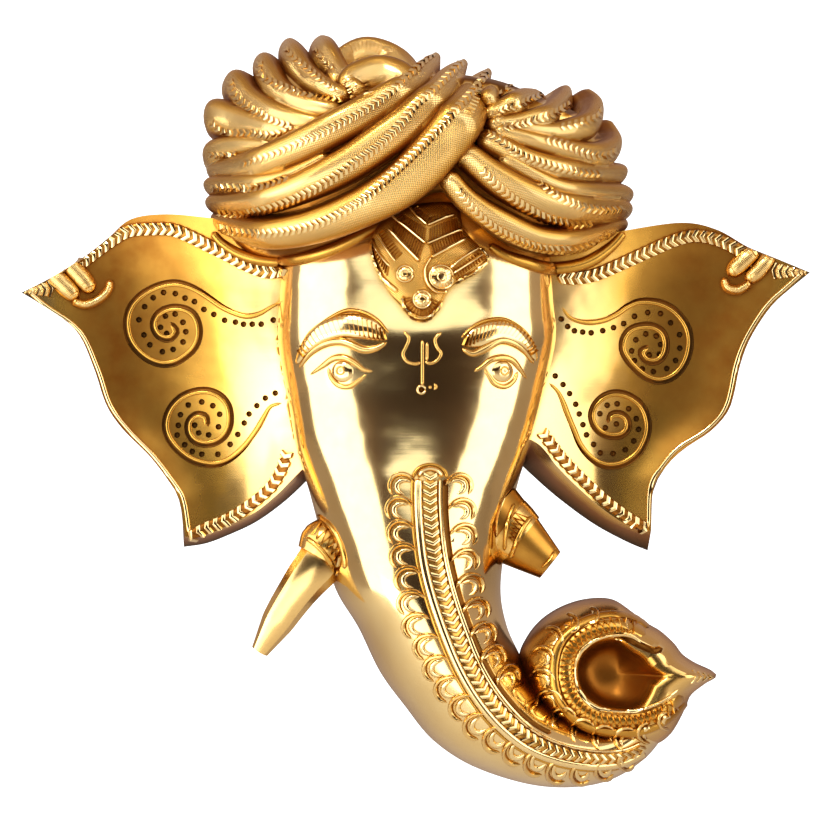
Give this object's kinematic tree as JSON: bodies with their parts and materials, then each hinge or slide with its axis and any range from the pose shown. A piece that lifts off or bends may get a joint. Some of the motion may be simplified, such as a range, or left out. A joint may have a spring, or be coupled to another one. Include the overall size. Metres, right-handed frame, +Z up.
{
  "type": "ganesha wall mask",
  "caption": "Cast brass elephant-head wall mask with a wound turban, spread ears, tusks and a curled trunk, hollow behind, hung on a nail.",
  "frame": {"origin": "centre of the nail hole in the cast lug behind the turban, in the plane of the wall", "axes": "+X to the viewer's right, +Z up the wall, +Y into the wall, so the face looks along -Y"},
  "size_m": [0.3325, 0.0845, 0.3172],
  "materials": {
    "brass": "cast brass, filed and polished bright in front, chased ornament with darker recesses, rougher as cast behind"
  },
  "bodies": {
    "root": {"mask_casting": "brass"}
  },
  "joints": []
}
